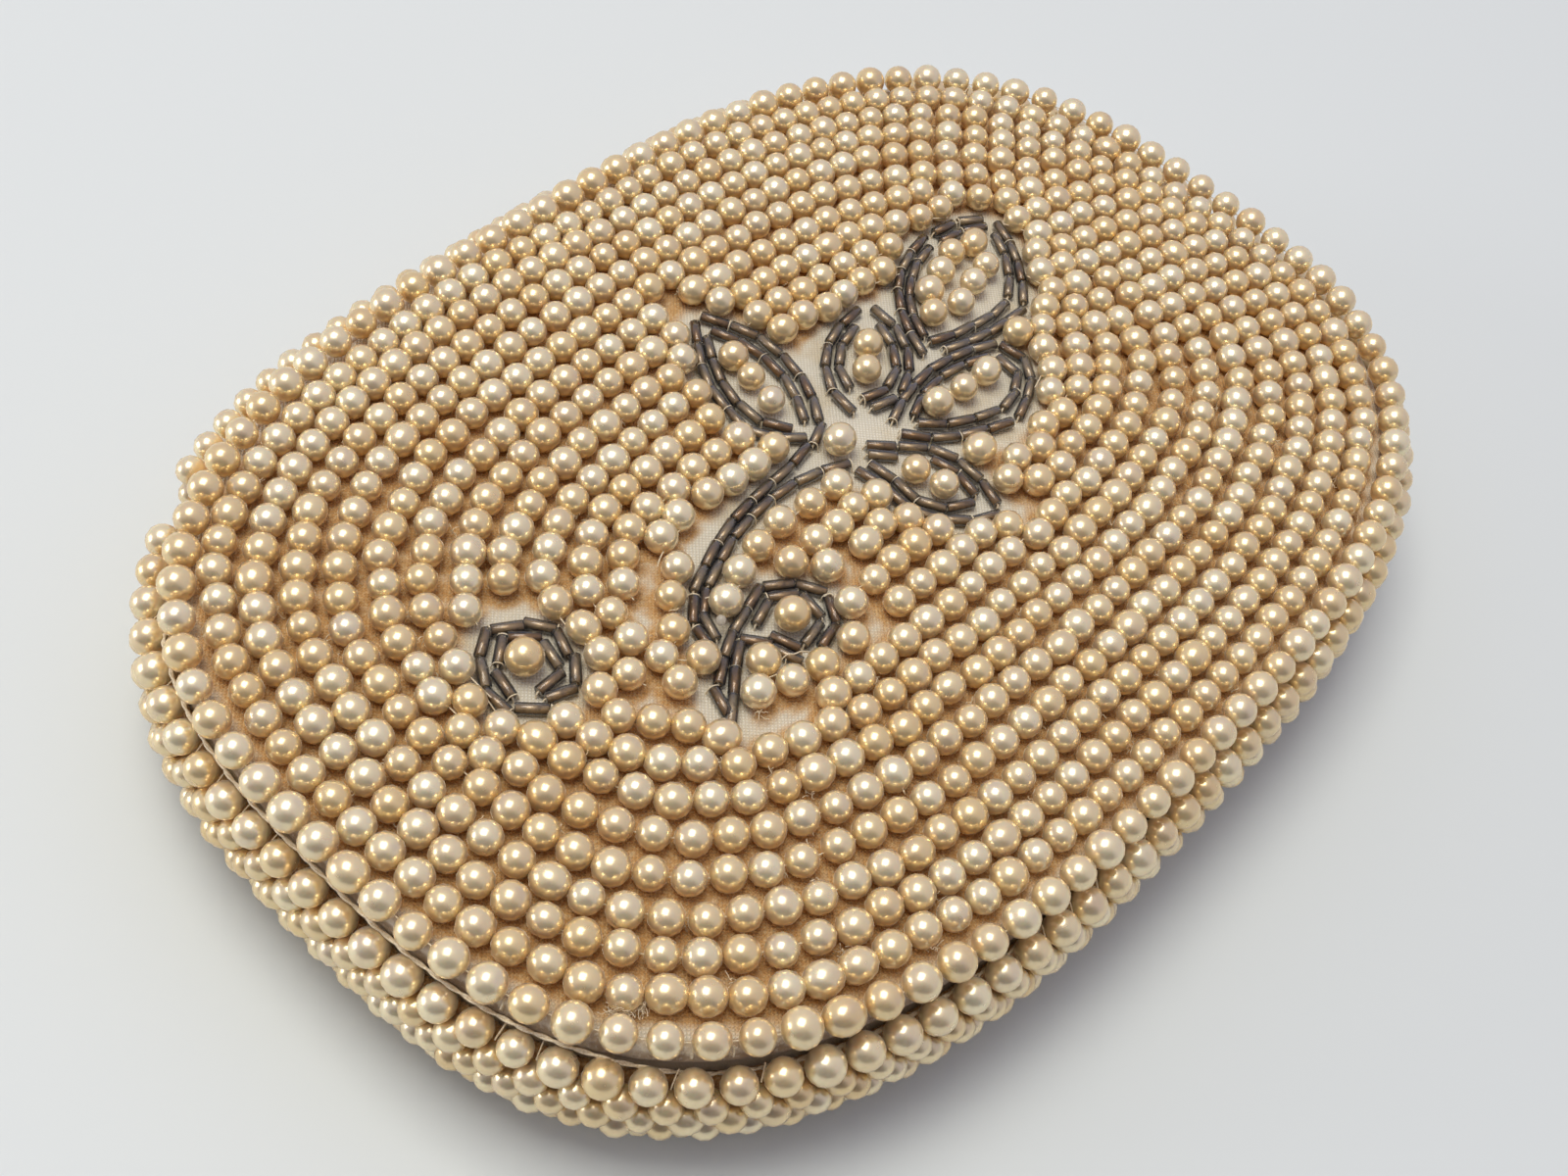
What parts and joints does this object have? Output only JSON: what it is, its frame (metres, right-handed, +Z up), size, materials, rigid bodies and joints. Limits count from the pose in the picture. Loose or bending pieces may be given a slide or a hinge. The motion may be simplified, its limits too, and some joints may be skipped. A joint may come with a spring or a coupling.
{
  "type": "beaded evening clutch",
  "caption": "Oval flap clutch sewn all over with simulated pearls, with a bugle-bead flower spray on its flap and a satin pocket inside.",
  "frame": {"origin": "centre of the bag's outline, on the surface that its back lies on", "axes": "+X along the bag's length, +Y to the fold that carries the flap, +Z up through the beaded flap"},
  "size_m": [0.1884, 0.1324, 0.0295],
  "materials": {
    "pearl": "pearlised lacquer over plastic, champagne",
    "ground_cloth": "ivory woven rayon, matt",
    "satin": "ivory satin lining",
    "board": "millboard stiffener, unbleached",
    "bugle_glass": "smoky grey silver-lined glass",
    "thread": "twisted ivory cotton",
    "snap_metal": "nickel plated"
  },
  "bodies": {
    "root": {"back_cover": "ground_cloth", "belly_board": "board", "belly_pearls": "pearl", "wall_pearls": "pearl", "fold_cloth": "ground_cloth", "fold_low_pearls": "pearl", "fold_high_pearls": "pearl", "front_cover": "satin", "front_board": "board", "lining_pocket": "satin", "rim_pearls": "pearl", "rim_thread": "thread", "snap_socket": "snap_metal", "snap_spring": "snap_metal"},
    "flap": {"flap_cover": "ground_cloth", "flap_board": "board", "flap_lining": "satin", "flap_edge_pearls": "pearl", "flap_field_pearls": "pearl", "leaf_1_bugles": "bugle_glass", "leaf_2_bugles": "bugle_glass", "leaf_3_bugles": "bugle_glass", "leaf_4_bugles": "bugle_glass", "leaf_5_bugles": "bugle_glass", "stem_bugles": "bugle_glass", "curl_bugles": "bugle_glass", "ringlet_bugles": "bugle_glass", "leaf_1_pearls": "pearl", "leaf_2_pearls": "pearl", "leaf_3_pearls": "pearl", "leaf_4_pearls": "pearl", "leaf_5_pearls": "pearl", "spray_heart_pearl": "pearl", "ringlet_heart_pearl": "pearl", "curl_heart_pearl": "pearl", "snap_stud": "snap_metal"}
  },
  "joints": [
    {"name": "flap_hinge", "type": "hinge", "parent": "root", "child": "flap", "pos_m": [0, 0.063, 0.0213], "axis": [-1, 0, 0], "range_deg": [0, 125], "deforming": ["fold_cloth"]}
  ]
}
